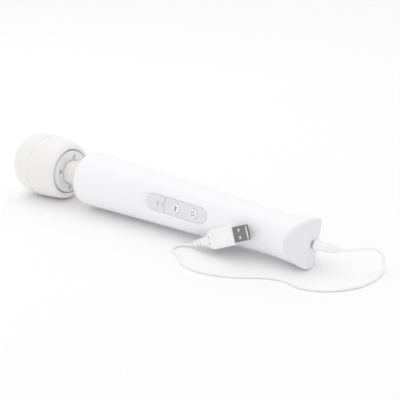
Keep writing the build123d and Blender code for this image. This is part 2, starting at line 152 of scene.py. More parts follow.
# ---- camera -----------------------------------------------------------------------------------
def add_camera():
    """The photograph's viewpoint: a long lens, 20 degrees above the ground, leaning a little."""
    data = bpy.data.cameras.new("camera")
    data.lens = 90.03
    data.sensor_width = 36.0
    data.clip_start = 0.05
    data.clip_end = 50.0
    camera = bpy.data.objects.new("camera", data)
    bpy.context.collection.objects.link(camera)
    forward = Vector((-0.59708, 0.7247, -0.34394)).normalized()
    right = Vector((0.77664, 0.62957, -0.02169))
    right = (right - forward * right.dot(forward)).normalized()
    up = right.cross(forward)
    camera.matrix_world = Matrix.Translation((0.538428, -0.594258, 0.314394)) @ Matrix(
        (right, up, -forward)
    ).transposed().to_4x4()
    bpy.context.scene.camera = camera


# ---- materials --------------------------------------------------------------------------------
def finish(name, color, roughness, metallic=0.0, tint=0.03, tint_size=14.0, grain=0.35, depth=0.006,
           vary=0.05, stretch=(1, 1, 1), coat=0.0, subsurface=0.0, specular=0.5):
    """A moulded, plated or painted finish. Sizes of its pattern are in millimetres."""
    material = bpy.data.materials.new(name)
    material.use_nodes = True
    tree = material.node_tree
    shader = tree.nodes["Principled BSDF"]
    shader.inputs["Metallic"].default_value = metallic
    shader.inputs["Specular IOR Level"].default_value = specular
    shader.inputs["Coat Weight"].default_value = coat
    shader.inputs["Coat Roughness"].default_value = 0.2
    if subsurface:
        shader.inputs["Subsurface Weight"].default_value = subsurface
        shader.inputs["Subsurface Scale"].default_value = 0.002
        shader.inputs["Subsurface Radius"].default_value = (1.0, 0.7, 0.5)

    def noise(size, detail):
        node = tree.nodes.new("ShaderNodeTexNoise")
        node.inputs["Scale"].default_value = 1.0 / (size * MM)
        node.inputs["Detail"].default_value = detail
        tree.links.new(mapping.outputs["Vector"], node.inputs["Vector"])
        return node

    place = tree.nodes.new("ShaderNodeTexCoord")
    mapping = tree.nodes.new("ShaderNodeMapping")
    mapping.inputs["Scale"].default_value = stretch
    tree.links.new(place.outputs["Object"], mapping.inputs["Vector"])

    cloud = noise(tint_size, 3.0)
    ramp = tree.nodes.new("ShaderNodeValToRGB")
    ramp.color_ramp.elements[0].position = 0.3
    ramp.color_ramp.elements[1].position = 0.7
    for element, share in zip(ramp.color_ramp.elements, (1 - tint, 1 + tint)):
        element.color = [min(1.0, c * share) for c in color] + [1.0]
    tree.links.new(cloud.outputs["Fac"], ramp.inputs["Fac"])
    tree.links.new(ramp.outputs["Color"], shader.inputs["Base Color"])

    fine = noise(grain, 2.0)
    spread = tree.nodes.new("ShaderNodeMapRange")
    spread.inputs["To Min"].default_value = max(0.02, roughness - vary)
    spread.inputs["To Max"].default_value = min(1.0, roughness + vary)
    tree.links.new(fine.outputs["Fac"], spread.inputs["Value"])
    tree.links.new(spread.outputs["Result"], shader.inputs["Roughness"])

    bump = tree.nodes.new("ShaderNodeBump")
    bump.inputs["Strength"].default_value = 1.0
    bump.inputs["Distance"].default_value = depth * MM
    tree.links.new(fine.outputs["Fac"], bump.inputs["Height"])
    tree.links.new(bump.outputs["Normal"], shader.inputs["Normal"])
    return material


FINISHES = {
    "cushion_silicone": dict(roughness=0.5, subsurface=0.12, tint=0.015, tint_size=22, grain=0.5, depth=0.008),
    "handle_plastic": dict(roughness=0.42, tint=0.012, tint_size=30, grain=0.3, depth=0.006, coat=0.05),
    # tail_plastic's colour, read from model.json, is a greyer white than handle_plastic: painted shade for the tail
    # face, which faces away from the light.
    "tail_plastic": dict(roughness=0.5, tint=0.015, tint_size=25, grain=0.3, depth=0.008),
    "panel_silver": dict(roughness=0.38, metallic=0.15, tint=0.02, grain=0.12, depth=0.004, vary=0.08),
    "key_white": dict(roughness=0.25, tint=0.01, grain=0.4, depth=0.003, coat=0.3),
    "collar_silver": dict(roughness=0.36, metallic=0.15, tint=0.03, grain=0.15, depth=0.005, vary=0.08),
    "neck_silicone": dict(roughness=0.55, subsurface=0.1, tint=0.05, tint_size=5, grain=0.4, depth=0.02),
    "inner_plastic": dict(roughness=0.5, tint=0.04, grain=0.3, depth=0.01),
    "screw_steel": dict(roughness=0.35, metallic=0.9, tint=0.08, tint_size=1.5, grain=0.15, depth=0.01),
    "motor_steel": dict(roughness=0.3, metallic=1.0, tint=0.05, grain=0.2, depth=0.01, stretch=(0.1, 1, 1)),
    "weight_steel": dict(roughness=0.5, metallic=1.0, tint=0.1, tint_size=2, grain=0.25, depth=0.03),
    "neck_rubber": dict(roughness=0.7, tint=0.15, grain=0.4, depth=0.02),
    "wire_insulation": dict(roughness=0.4, tint=0.08, grain=0.3, depth=0.005),
    "board_green": dict(roughness=0.35, tint=0.2, tint_size=3, grain=0.4, depth=0.01, coat=0.3),
    "chip_black": dict(roughness=0.55, tint=0.2, grain=0.15, depth=0.006),
    "switch_metal": dict(roughness=0.3, metallic=0.9, tint=0.06, grain=0.2, depth=0.006),
    "cell_wrap": dict(roughness=0.22, tint=0.06, grain=0.8, depth=0.01, coat=0.4),
    "contact_nickel": dict(roughness=0.25, metallic=1.0, tint=0.05, grain=0.2, depth=0.006),
    "socket_black": dict(roughness=0.5, tint=0.15, grain=0.25, depth=0.008),
    "cord_white": dict(roughness=0.45, tint=0.015, grain=0.3, depth=0.006, subsurface=0.05),
    "plug_white": dict(roughness=0.4, tint=0.015, grain=0.3, depth=0.006, coat=0.05),
    "usb_steel": dict(roughness=0.36, metallic=0.75, tint=0.14, tint_size=0.7, grain=0.2, depth=0.006),
    "contact_gold": dict(roughness=0.22, metallic=1.0, tint=0.06, grain=0.15, depth=0.004),
    "barrel_metal": dict(roughness=0.12, metallic=1.0, tint=0.03, grain=0.3, depth=0.003),
}
MATERIALS = {
    m["slot"]: finish(m["slot"], m["base_color"], **FINISHES[m["slot"]]) for m in record["materials"]
}
PRINT_GREY = finish("print_grey", (0.16, 0.16, 0.17), 0.5, tint=0.12, tint_size=0.8, grain=0.1)
PRINT_PALE = finish("print_pale", (0.42, 0.42, 0.44), 0.5, tint=0.12, tint_size=0.8, grain=0.1)
SEAM_STEEL = finish("seam_steel", (0.74, 0.68, 0.65), 0.3, metallic=0.6, tint=0.05, tint_size=0.6, grain=0.1)


# ---- meshes -----------------------------------------------------------------------------------
class Net:
    """Points and faces of one piece, gathered ring by ring."""

    def __init__(self):
        self.points, self.faces = [], []

    def ring(self, points):
        start = len(self.points)
        self.points += [Vector(p) for p in points]
        return list(range(start, len(self.points)))

    def bridge(self, a, b, closed=True):
        for i in range(len(a) if closed else len(a) - 1):
            j = (i + 1) % len(a)
            self.faces.append((a[i], a[j], b[j], b[i]))

    def fan(self, ring, point):
        centre = self.ring([point])[0]
        for i in range(len(ring)):
            self.faces.append((ring[i], ring[(i + 1) % len(ring)], centre))

    def tube(self, rings, ends="fan"):
        """Rings joined in order, closed by a fan at each end, or joined last to first."""
        made = [self.ring(r) for r in rings]
        for a, b in zip(made, made[1:]):
            self.bridge(a, b)
        if ends == "loop":
            self.bridge(made[-1], made[0])
        elif ends == "fan":
            for ring in (made[0], made[-1]):
                middle = sum((self.points[i] for i in ring), Vector()) / len(ring)
                self.fan(ring, middle)
        return made

    def patch(self, loops, inside, heights, step):
        """Triangles between closed loops of points, with a grid of points inside, merged later."""
        flat, edges = [], []
        for loop in loops:
            start = len(flat)
            flat += [Vector(p[:2]) for p in loop]
            edges += [(start + i, start + (i + 1) % len(loop)) for i in range(len(loop))]
        low = [min(p[i] for p in flat) for i in (0, 1)]
        high = [max(p[i] for p in flat) for i in (0, 1)]
        if step:
            for i in range(1, int((high[0] - low[0]) / step)):
                for j in range(1, int((high[1] - low[1]) / step)):
                    p = Vector((low[0] + i * step, low[1] + j * step))
                    if inside(p, 0.35 * step):
                        flat.append(p)
        verts, _, faces, _, _, _ = delaunay_2d_cdt(flat, edges, [], 0, 1e-6)
        start = len(self.points)
        self.points += [Vector((p.x, p.y, heights(p.x, p.y))) for p in verts]
        for face in faces:
            middle = sum((verts[i] for i in face), Vector((0, 0))) / len(face)
            if inside(middle, 0.0):
                self.faces.append(tuple(start + i for i in face))


def add_piece(name, net, slot, body, where, replaces=(), sharp=35.0, material=None):
    """A mesh object from a net, with its doubles merged and its faces turned outwards."""
    mesh = bpy.data.meshes.new(name)
    mesh.from_pydata(net.points, [], net.faces)
    work = bmesh.new()
    work.from_mesh(mesh)
    bmesh.ops.remove_doubles(work, verts=work.verts, dist=0.002)
    bmesh.ops.dissolve_degenerate(work, edges=work.edges, dist=0.0005)
    loose = [v for v in work.verts if not v.link_faces]
    bmesh.ops.delete(work, geom=loose, context="VERTS")
    bmesh.ops.recalc_face_normals(work, faces=work.faces)
    open_edges = sum(1 for e in work.edges if not e.is_manifold)
    if open_edges:
        print("OPEN", name, open_edges)
    work.to_mesh(mesh)
    work.free()
    mesh.transform(where)
    for polygon in mesh.polygons:
        polygon.use_smooth = True
    mesh.set_sharp_from_angle(angle=radians(sharp))
    piece = bpy.data.objects.new(name, mesh)
    bpy.context.collection.objects.link(piece)
    piece.data.materials.append(material or MATERIALS[slot])
    if replaces:
        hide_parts(*replaces)
    if body:
        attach(piece, body)
    return piece


def smooth_line(points, steps=6):
    """A Catmull-Rom curve through points of any dimension."""
    points = [Vector(p) for p in points]
    padded = [points[0] * 2 - points[1]] + points + [points[-1] * 2 - points[-2]]
    line = []
    for a, b, c, d in zip(padded, padded[1:], padded[2:], padded[3:]):
        for i in range(steps):
            t = i / steps
            line.append(0.5 * (2 * b + (c - a) * t + (2 * a - 5 * b + 4 * c - d) * t * t
                               + (3 * b - a - 3 * c + d) * t**3))
    return line + [points[-1]]


def rounded(points, radius, steps=4):
    """A closed outline with each corner rounded off by the given reach."""
    made = []
    for i, here in enumerate(points):
        here = Vector(here)
        before, after = Vector(points[i - 1]) - here, Vector(points[(i + 1) % len(points)]) - here
        reach = min(radius, 0.45 * before.length, 0.45 * after.length)
        start, end = here + before.normalized() * reach, here + after.normalized() * reach
        for k in range(steps + 1):
            t = k / steps
            made.append(start * (1 - t) ** 2 + here * 2 * t * (1 - t) + end * t * t)
    return made


def circle(count, radius, first=0.0):
    turns = [first + 2 * pi * i / count for i in range(count)]
    return [(radius * cos(t), radius * sin(t)) for t in turns]


def lathe(profile, segments=96, closed=False):
    """A turned net about the wand's axis from (x, radius) points. Radius 0 ends in a pole."""
    net = Net()
    rings = [[(x, y, z) for y, z in circle(segments, r)] for x, r in profile if r > 1e-6]
    made = net.tube(rings, ends="loop" if closed else None)
    if not closed:
        for index, ring in ((0, made[0]), (-1, made[-1])):
            net.fan(ring, (profile[index][0], 0, 0))
    return net


def smooth_min(a, b, reach):
    share = max(0.0, min(1.0, 0.5 + 0.5 * (b - a) / reach))
    return b + (a - b) * share - reach * share * (1 - share)


# ---- handle -----------------------------------------------------------------------------------
def half_heights(x):
    taper = HANDLE_FRONT_RADIUS - HANDLE_TAPER * (x - SHELL_FRONT_X) - REAR_TAPER * max(0, x - REAR_TAPER_X)
    flare = max(0, 1 - x / FLARE_START_X) ** FLARE_POWER
    return taper + FLARE_TIPS * flare, taper + FLARE_NORMAL * flare


def skin_z(x, y):
    tips, normal = half_heights(x)
    return normal * sqrt(max(0.0, 1 - (y / tips) ** 2))


def face_x(z, shrink=0.0):
    """The tail's convex face, or the face a wall's thickness inside it."""
    return TAIL_APEX_X - TAIL_RADIUS + sqrt((TAIL_RADIUS - shrink) ** 2 - z * z)


def tail_end(angle, shrink=0.0):
    """Where the handle's skin meets the tail's face, seen along angle from the tips' line."""
    x = -5.0
    for _ in range(40):
        x = 0.5 * (x + face_x(half_heights(x)[1] * sin(angle), shrink))
    return x


def skin_point(x, angle, sink=0.0):
    tips, normal = half_heights(x)
    return Vector((x, (tips - sink) * cos(angle), (normal - sink) * sin(angle)))


def under_skin(x, y):
    """The point on the case's inner face that lies under the skin at x, y."""
    tips, normal = half_heights(x)
    edge, knee = tips - WALL, 0.72 * tips
    squeezed = knee + (abs(y) - knee) * (edge - knee) / (tips - knee)
    inner = y if abs(y) <= knee else (1 if y > 0 else -1) * squeezed
    return Vector((x, inner, (normal - WALL) * sqrt(max(0.0, 1 - (inner / edge) ** 2))))


def case_half(side, openings):
    """Half of the handle's case: a skin with openings, and an inner face a wall's thickness below."""
    long_run = [SHELL_FRONT_X, SHELL_FRONT_X + 0.3] + [SHELL_FRONT_X + 2.5 * i for i in range(1, 69)]
    tail_start, tail_steps = long_run[-1], 22
    angles = [0, 0.45] + [3 * i for i in range(1, 60)] + [179.55, 180]
    outer, inner = Net(), Net()
    grid = []
    for column in range(len(long_run) + tail_steps):
        row = []
        for degrees_round in angles:
            angle = radians(degrees_round)
            if column < len(long_run):
                x = long_run[column]
            else:
                share = (column - len(long_run) + 1) / tail_steps
                x = tail_start + (tail_end(angle, TAIL_WALL) - tail_start) * share
            lip = PART_LINE if degrees_round in (0, 180) or column == 0 else 0.0
            point = skin_point(x, angle, lip)
            row.append(outer.ring([point])[0])
            below = under_skin(x, skin_point(x, angle).y)
            inner.ring([below])
        grid.append(row)

    kept = {(i, j) for i in range(len(grid) - 1) for j in range(len(angles) - 1)}
    for opening in openings:
        cut_opening(outer, inner, grid, kept, **opening)
    for i, j in sorted(kept):
        outer.faces.append((grid[i][j], grid[i + 1][j], grid[i + 1][j + 1], grid[i][j + 1]))
    return thicken(outer, inner, side)


def cut_opening(outer, inner, grid, kept, start_x, end_x, middle_y, radius, reach, height, floor_z, ledge, wall):
    """Replaces a patch of the skin's grid by rings that run into a slot-shaped opening, its wall
    and a ledge at its floor."""
    columns = [i for i, row in enumerate(grid)
               if start_x - radius - reach <= outer.points[row[30]].x <= end_x + radius + reach]
    centre = grid[columns[len(columns) // 2]]
    rows = [j for j in range(2, len(centre) - 2) if abs(outer.points[centre[j]].y - middle_y) <= radius + reach]
    first, last, low, high = columns[0], columns[-1], rows[0], rows[-1]
    kept -= {(i, j) for i in range(first, last) for j in range(low, high)}
    border = [grid[i][low] for i in range(first, last)] + [grid[last][j] for j in range(low, high)]
    border += [grid[i][high] for i in range(last, first, -1)] + [grid[first][j] for j in range(high, low, -1)]

    rays = []
    for index in border:
        point = outer.points[index].to_2d()
        middle = Vector((min(max(point.x, start_x), end_x), middle_y))
        away = point - middle
        rays.append((middle, away.normalized(), away.length - radius))

    previous = border
    for share in (0.86, 0.74, 0.63, 0.53, 0.44, 0.36, 0.29, 0.23, 0.17, 0.12, 0.07, 0.03, 0.0):
        top, below = [], []
        for middle, direction, room in rays:
            offset = room * share**1.6
            place = middle + direction * (radius + offset)
            top.append((place.x, place.y, height(place.x, place.y, offset)))
            place = middle + direction * (radius + wall + (room - wall) * share**1.6)
            under = under_skin(place.x, place.y)
            below.append((under.x, under.y, min(under.z, top[-1][2] - 1.7)))
        ring = outer.ring(top)
        inner.ring(below)
        outer.bridge(previous, ring)
        previous = ring
    for inset in (0.0, ledge):
        top = [middle + direction * (radius - inset) for middle, direction, _ in rays]
        below = [middle + direction * (radius + (wall if inset == 0 else -inset)) for middle, direction, _ in rays]
        ring = outer.ring([(p.x, p.y, floor_z) for p in top])
        inner.ring([(p.x, p.y, floor_z - 1.7) for p in below])
        outer.bridge(previous, ring)
        previous = ring


def thicken(outer, inner, side=1):
    """A closed net from a skin and the matching points of its inner face."""
    net = Net()
    count = len(outer.points)
    net.points = [Vector((p.x, p.y, side * p.z)) for p in outer.points + inner.points]
    net.faces = list(outer.faces) + [tuple(i + count for i in reversed(f)) for f in outer.faces]
    uses = {}
    for face in outer.faces:
        for a, b in zip(face, face[1:] + face[:1]):
            uses[frozenset((a, b))] = uses.get(frozenset((a, b)), []) + [(a, b)]
    for sides in uses.values():
        if len(sides) == 1:
            a, b = sides[0]
            net.faces.append((b, a, a + count, b + count))
    return net


def recess_height(x, y, offset):
    """The skin round the control panel, sloping down into its recess."""
    slope = RECESS_START + offset / sin(radians(RECESS_SLOPE)) * cos(radians(RECESS_SLOPE))
    return smooth_min(skin_z(x, y), slope, 0.5)


def well_height(x, y, offset):
    """The skin round a sunk screw, with its edge rounded over."""
    edge = 0.4
    return skin_z(x, y) - (edge - sqrt(edge**2 - (edge - offset) ** 2) if offset < edge else 0.0)


def build_case():
    recess = dict(start_x=PANEL_FRONT_X + PANEL_HALF, end_x=PANEL_REAR_X - PANEL_HALF, middle_y=0.0,
                  radius=PANEL_HALF + PANEL_GAP, reach=6.6, height=recess_height, floor_z=PANEL_FLOOR,
                  ledge=2.2, wall=1.2)
    front = case_half(1, [recess])
    add_piece("handle_front_skin", front, "handle_plastic", "handle", WAND, ("handle_front_shell",), sharp=32)
    wells = [dict(start_x=x, end_x=x, middle_y=y, radius=SCREW_WELL, reach=3.4, height=well_height,
                  floor_z=SCREW_SEAT_Z, ledge=1.2, wall=1.3) for x, y in CASE_SCREWS]
    back = case_half(-1, wells)
    add_piece("handle_back_skin", back, "handle_plastic", "handle", WAND, ("handle_back_shell",), sharp=32)


def build_tail():
    """Tail cap: a short band of the handle's skin, a rounded edge and the convex face."""
    turns = [2 * pi * i / 160 for i in range(160)]
    rings = []
    band, edge = [tail_end(a, TAIL_WALL) for a in turns], [tail_end(a) for a in turns]
    rings.append([skin_point(b, a, 0.05) for a, b in zip(turns, band)])
    for share in (0.06, 0.4, 0.75, 1.0):
        rings.append([skin_point(b + (e - TAIL_EDGE - b) * share, a) for a, b, e in zip(turns, band, edge)])
    corners = [skin_point(e, a) for a, e in zip(turns, edge)]

    def face_point(corner, share):
        y, z = corner.y * share, corner.z * share
        return Vector((face_x(z), y, z))

    rims = [face_point(c, 1 - TAIL_EDGE / c.length) for c in corners]
    for t in (0.2, 0.4, 0.6, 0.8, 1.0):
        rings.append([p * (1 - t) ** 2 + c * 2 * t * (1 - t) + q * t * t
                      for p, c, q in zip(rings[4], corners, rims)])
    hole = SOCKET_HOLE + 2.0
    for share in (0.93, 0.84, 0.74, 0.63, 0.52, 0.41, 0.31, 0.22, 0.12, 0.05, 0.0):
        ring = []
        for angle, rim in zip(turns, rims):
            inner_y, inner_z = hole * cos(angle), hole * sin(angle)
            y, z = inner_y + (rim.y - inner_y) * share, inner_z + (rim.z - inner_z) * share
            ring.append(Vector((face_x(z), y, z)))
        rings.append(ring)
    for radius, sink in ((hole - 0.5, 0.08), (hole - 0.8, 0.5), (SOCKET_HOLE + 0.25, 0.55), (SOCKET_HOLE, 0.8),
                         (SOCKET_HOLE, TAIL_WALL)):
        rings.append([Vector((face_x(radius * sin(a)) - sink, radius * cos(a), radius * sin(a))) for a in turns])
    for share in (0.3, 0.6, 0.9):
        ring = []
        for angle, corner in zip(turns, rings[0]):
            inner_y, inner_z = SOCKET_HOLE * cos(angle), SOCKET_HOLE * sin(angle)
            y, z = inner_y + (corner.y - inner_y) * share, inner_z + (corner.z - inner_z) * share
            ring.append(Vector((face_x(z, TAIL_WALL), y, z)))
        rings.append(ring)
    net = Net()
    net.tube(rings, ends="loop")
    # The tail face's greyer tail_plastic colour is painted shade, not a different plastic.
    add_piece("tail_face", net, "tail_plastic", "handle", WAND, ("tail_cap",), sharp=50)


def build_front_cap():
    r = HANDLE_FRONT_RADIUS
    outer = [(-231.0, r - 0.12), (-231.25, r)] + smooth_line(
        [(-231.8, r), (-233.6, 23.75), (-235.4, 23.25), (-236.9, 22.2), (-237.75, 20.9), (-238.0, 19.6)], 5)[1:]
    front = [(-238.0, 18.0), (-238.0, 15.5), (-238.0, 13.2), (-237.9, 12.3), (-237.6, 11.8), (-237.1, 11.55),
             (-236.4, 11.5), (-235.0, 11.5), (-235.0, 14.3), (-232.0, 14.3), (-232.0, 19.9), (-228.0, 19.9),
             (-228.0, r - WALL - 0.25), (-231.0, r - WALL - 0.15)]
    net = lathe(outer + front, 128, closed=True)
    add_piece("handle_front_cap", net, "handle_plastic", "handle", WAND, ("front_cap",), sharp=40)


# ---- head -------------------------------------------------------------------------------------
def build_cushion():
    low, high = wand_box("head_cushion")
    radius, tip, groove = high.z, low.x, -289.9
    depth = groove - 1.4 - tip
    nose = []
    for i in range(41):
        turn = pi / 2 * i / 40
        power = 2 / NOSE_POWER
        nose.append((groove - 1.4 - depth * cos(turn) ** power, radius * sin(turn) ** power))
    seam = smooth_line([(groove - 1.4, radius), (groove - 0.75, radius - 0.3), (groove - 0.25, radius - 0.85),
                        (groove + 0.15, radius - 0.9), (groove + 0.6, radius - 0.45), (groove + 1.3, radius - 0.08),
                        (groove + 2.4, radius - 0.12)], 4)[1:]
    barrel = smooth_line([(groove + 2.4, radius - 0.12), (-282.0, 27.75), (-274.0, 27.0), (-268.5, 26.25),
                          (-265.6, 25.45), (-263.7, 24.2), (-262.75, 22.6), (-262.8, 21.1), (-264.4, 20.2)], 6)[1:]
    inside = [(-267.0, 20.2), (-267.0, 23.7), (-285.0, 23.7), (-307.0, 23.7), (-314.3, 16.2)]
    net = lathe(nose + seam + barrel + inside + [(-314.3, 0.0)], 144)
    cushion = add_piece("head_silicone", net, "cushion_silicone", "head", WAND, ("head_cushion",), sharp=55)


def carve(piece, cutters):
    """Cuts solids out of a piece."""
    for cutter in cutters:
        modifier = piece.modifiers.new("carve", "BOOLEAN")
        modifier.operation, modifier.solver, modifier.object = "DIFFERENCE", "EXACT", cutter
    bpy.context.view_layer.update()
    cut = bpy.data.meshes.new_from_object(piece.evaluated_get(bpy.context.evaluated_depsgraph_get()))
    piece.modifiers.clear()
    piece.data = cut
    for cutter in cutters:
        bpy.data.objects.remove(cutter)


def build_collar():
    outline = [(-267.0, 11.3), (-267.0, 19.55), (-263.3, 19.6), (-261.2, 16.7), (-261.2, 11.3)]
    for name, first in (("collar_half_upper", COLLAR_SPLIT), ("collar_half_lower", COLLAR_SPLIT + 180)):
        net = Net()
        profile = rounded(outline, 0.45, 4)
        rings = []
        for i in range(65):
            ring = []
            for x, r in profile:
                start = radians(first) + asin(COLLAR_GAP / r)
                end = radians(first + 180) - asin(COLLAR_GAP / r)
                angle = start + (end - start) * i / 64
                ring.append((x, r * cos(angle), r * sin(angle)))
            rings.append(ring)
        made = net.tube(rings, ends=None)
        net.faces += [tuple(made[0]), tuple(reversed(made[-1]))]
        half = add_piece(f"{name}_ring", net, "collar_silver", None, WAND, (name,), sharp=30)
        cutters = []
        for turn in (45, 135):
            angle = radians(first + turn)
            y, z = COLLAR_SCREW_CIRCLE * cos(angle), COLLAR_SCREW_CIRCLE * sin(angle)
            net = Net()
            net.tube([[(x, y + a, z + b) for a, b in circle(32, r)] for x, r in
                      ((-262.9, 1.75), (-261.45, 1.75), (-261.0, 2.1), (-258.0, 2.1))])
            cutters.append(add_piece("cutter", net, None, None, WAND, material=MATERIALS["collar_silver"]))
        carve(half, cutters)
        for polygon in half.data.polygons:
            polygon.use_smooth = True
        half.data.set_sharp_from_angle(angle=radians(30))
        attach(half, "head")


# ---- neck -------------------------------------------------------------------------------------
NECK_CUT = -248.5


def bend(piece):
    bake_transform(piece)


def build_neck():
    """The neck's sleeve, core and leads, each cut in the middle into a half on the handle's side and a half on the
    head's side.
    """
    sides = ((("handle", "neck"), -238.4, -247.4, "handle"), (("neck", "head"), -249.6, -260.4, "head"))
    sleeve_low, sleeve_high = wand_box("neck_sleeve")
    front = [(sleeve_high.x, 8.1), (sleeve_high.x, 13.7), (sleeve_high.x - 0.3, 14.0), (-234.5, 14.0),
             (-234.8, 13.7), (-234.8, 11.3), (-235.1, 11.0)]
    core_high, core_low = wand_box("neck_core")[1].x, wand_box("neck_core")[0].x
    for bodies, start, end, word in sides:
        x0, x1 = (sleeve_high.x, NECK_CUT) if word == "handle" else (NECK_CUT, sleeve_low.x)
        stations = [x0 + (x1 - x0) * i / 26 for i in range(27)]
        if word == "handle":
            outer = front + [(x, 11.0) for x in stations if x < -235.6]
        else:
            outer = [(x, 11.0) for x in stations]
        inner = [(x, 8.1) for x in reversed(stations) if x < sleeve_high.x - 0.01]
        net = lathe(outer + inner, 96, closed=True)
        piece = add_piece(f"neck_sleeve_{word}_side", net, "neck_silicone", None, WAND, ("neck_sleeve",), sharp=40)
        bend(piece)

        x0, x1 = (core_high, NECK_CUT) if word == "handle" else (NECK_CUT, core_low)
        stations = [x0 + (x1 - x0) * i / 24 for i in range(25)]
        net = lathe([(x, 7.9) for x in stations] + [(x, 3.5) for x in reversed(stations)], 64, closed=True)
        piece = add_piece(f"neck_core_{word}_side", net, "neck_rubber", None, WAND, ("neck_core",), sharp=40)
        bend(piece)

        x0, x1 = (core_high, NECK_CUT) if word == "handle" else (NECK_CUT, -271.0)
        net = Net()
        for y in (-1.3, 1.3):
            net.tube([[(x0 + (x1 - x0) * i / 30, y + a, b) for a, b in circle(16, 0.55)] for i in range(31)])
        piece = add_piece(f"motor_lead_{word}_side", net, "wire_insulation", None, WAND, ("motor_leads",), sharp=40)
        bend(piece)


# ---- controls ---------------------------------------------------------------------------------
def panel_z(x, y):
    """The panel's shallow arch, a little lower towards the tail."""
    middle = (PANEL_FRONT_X + PANEL_REAR_X) / 2
    drop = (x - middle) * PANEL_DROP / (PANEL_REAR_X - PANEL_FRONT_X)
    return PANEL_TOP - drop - (PANEL_CROWN - sqrt(PANEL_CROWN**2 - y * y))


def d_outline(flat_x, round_x, grow=0.0):
    """A D seen from +Z: flat side at flat_x with small corners, round end about round_x."""
    way = 1 if round_x > flat_x else -1
    corner, points = 0.6, []
    def arc(cx, cy, radius, start, end, steps):
        for i in range(steps + 1):
            angle = radians(start + (end - start) * i / steps)
            points.append(Vector((cx + way * radius * cos(angle), cy + radius * sin(angle))))
    def run(to, steps):
        start = points[-1].copy()
        for i in range(1, steps):
            points.append(start + (Vector(to) - start) * i / steps)
    half = PANEL_HALF
    arc(flat_x + way * corner, half - corner, corner + grow, 90, 180, 4)
    run((flat_x - way * grow, -(half - corner)), 10)
    arc(flat_x + way * corner, -(half - corner), corner + grow, 180, 270, 4)
    run((round_x, -(half + grow)), 18)
    arc(round_x, 0, half + grow, -90, 90, 36)
    run((flat_x + way * corner, half + grow), 18)
    return points


def slab(flat_x, round_x, holes, base, edge=0.35):
    """A crowned D-shaped plate with rounded edges and round holes, as a closed net."""
    way = 1 if round_x > flat_x else -1

    def inside(point, margin):
        if way * (point.x - flat_x) < margin + edge:
            return False
        beyond = max(0.0, way * (point.x - round_x))
        if sqrt(beyond**2 + point.y**2) > PANEL_HALF - edge - margin:
            return False
        return all((point - Vector(c)).length > r + 0.15 + margin for c, r in holes)

    def inside_base(point, margin):
        beyond = max(0.0, way * (point.x - round_x))
        return (way * (point.x - flat_x) > 0 and sqrt(beyond**2 + point.y**2) < PANEL_HALF
                and all((point - Vector(c)).length > r for c, r in holes))

    net = Net()
    turns = [radians(90 * i / 4) for i in range(5)]
    levels = [(-edge * (1 - sin(t)), edge * (1 - cos(t))) for t in turns]
    previous = None
    for grow, drop in levels:
        ring = net.ring([(p.x, p.y, panel_z(p.x, p.y) - drop) for p in d_outline(flat_x, round_x, grow)])
        if previous:
            net.bridge(previous, ring)
        previous = ring
    bottom = net.ring([(p.x, p.y, base) for p in d_outline(flat_x, round_x)])
    net.bridge(previous, bottom)
    loops = [[p for p in d_outline(flat_x, round_x, -edge)]]
    low_loops = [[p for p in d_outline(flat_x, round_x)]]
    for (cx, cy), radius in holes:
        previous = None
        for share in (0.0, 0.5, 0.85, 1.0):
            reach = 0.15 * (1 - share)
            drop = 0.15 * (1 - sqrt(1 - share**2)) if share < 1 else 0.15
            points = [Vector((cx + a, cy + b)) for a, b in circle(48, radius + reach)]
            ring = net.ring([(p.x, p.y, panel_z(p.x, p.y) - drop) for p in points])
            if previous:
                net.bridge(previous, ring)
            else:
                loops.append(points)
            previous = ring
        points = [Vector((cx + a, cy + b)) for a, b in circle(48, radius)]
        net.bridge(previous, net.ring([(p.x, p.y, base) for p in points]))
        low_loops.append(points)
    net.patch(loops, inside, panel_z, 1.1)
    net.patch(low_loops, inside_base, lambda x, y: base, 0)
    return net


def add_stem(net, x, top):
    rings = []
    for z, radius in ((top, STEM_RADIUS), (STEM_END + 0.3, STEM_RADIUS), (STEM_END, STEM_RADIUS - 0.3)):
        rings.append([(x + a, b, z) for a, b in circle(32, radius)])
    net.tube(rings)


def stroke(net, points, width, height, closed=False):
    """A thin printed line over a surface: a flat ribbon that follows height(x, y)."""
    points = [Vector(p) for p in points]
    rims = []
    count = len(points)
    for i, here in enumerate(points):
        before = points[i - 1] if i or closed else here
        after = points[(i + 1) % count] if i < count - 1 or closed else here
        a, b = (here - before), (after - here)
        a = a.normalized() if a.length else b.normalized()
        b = b.normalized() if b.length else a
        side = Vector((-(a + b).y, (a + b).x)).normalized()
        reach = width / 2 / max(0.45, side.dot(Vector((-a.y, a.x))))
        left, right = here + side * reach, here - side * reach
        rims.append([(p.x, p.y, height(p.x, p.y) + lift) for p, lift in
                     ((left, -0.06), (left, 0.05), (right, 0.05), (right, -0.06))])
    net.tube(rims, ends="loop" if closed else "fan")


def between(points, step=0.4):
    """The same polyline with more points, so that a ribbon follows a curved surface."""
    made = []
    for a, b in zip(points, points[1:]):
        a, b = Vector(a), Vector(b)
        count = max(1, ceil((b - a).length / step))
        made += [a + (b - a) * i / count for i in range(count)]
    return made + [Vector(points[-1])]


